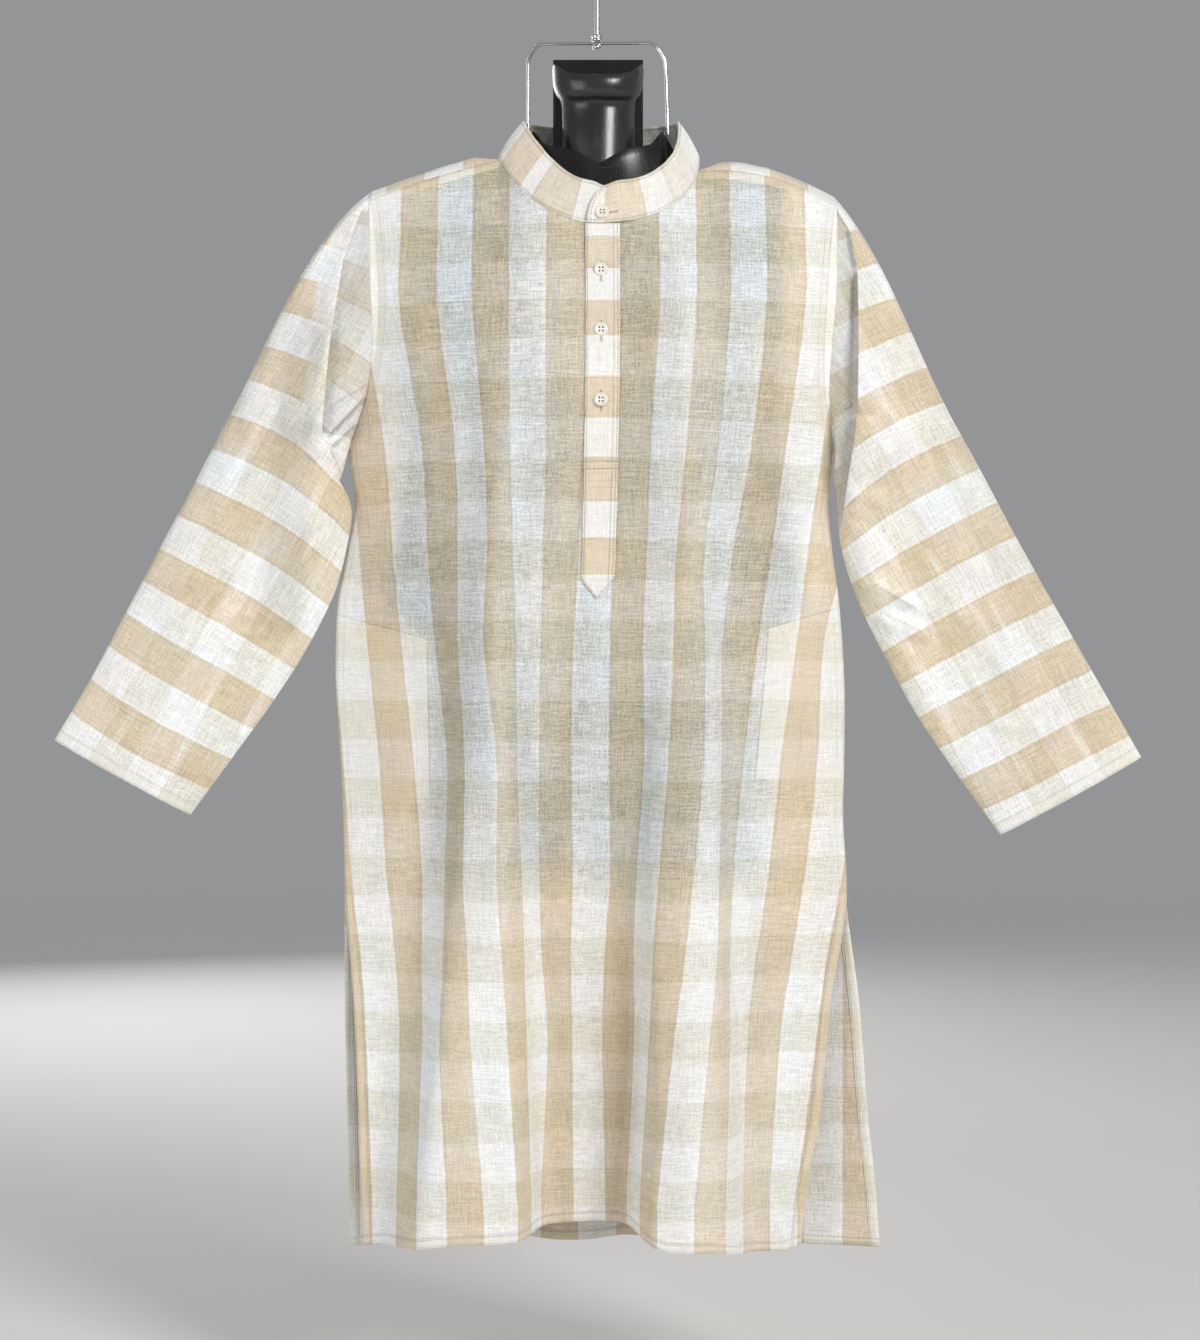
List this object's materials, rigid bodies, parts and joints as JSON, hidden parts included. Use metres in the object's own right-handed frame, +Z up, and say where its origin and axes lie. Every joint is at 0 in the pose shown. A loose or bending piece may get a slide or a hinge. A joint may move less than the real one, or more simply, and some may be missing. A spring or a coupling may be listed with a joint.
{
  "type": "kurta tunic on hanging torso form",
  "caption": "Long-sleeved striped check kurta tunic with a band collar and button placket, hanging on a limbless half-torso form with a hook.",
  "frame": {"origin": "the inner top of the hook's bend, where it bears on the rail", "axes": "+Z up, -Y towards the viewer of the garment's front, +X to the wearer's left"},
  "size_m": [1.0135, 0.1717, 1.2181],
  "materials": {
    "check_cloth": "sheer slub cotton in cream and tan stripes with a weak cross check",
    "button_shell": "satin off-white, four holes",
    "black_plastic": "glossy black moulding",
    "bail_wire": "bright plated wire",
    "hook_rod": "plated steel rod"
  },
  "bodies": {
    "root": {"front": "check_cloth", "back": "check_cloth", "sleeve_left": "check_cloth", "sleeve_right": "check_cloth", "collar": "check_cloth", "placket": "check_cloth", "pocket_left": "check_cloth", "pocket_right": "check_cloth", "button_1": "button_shell", "button_2": "button_shell", "button_3": "button_shell", "button_collar": "button_shell", "form_torso": "black_plastic", "form_neck": "black_plastic", "form_plate": "black_plastic", "bail": "bail_wire", "swivel": "bail_wire", "swivel_nut": "bail_wire", "hook": "hook_rod"}
  },
  "joints": []
}
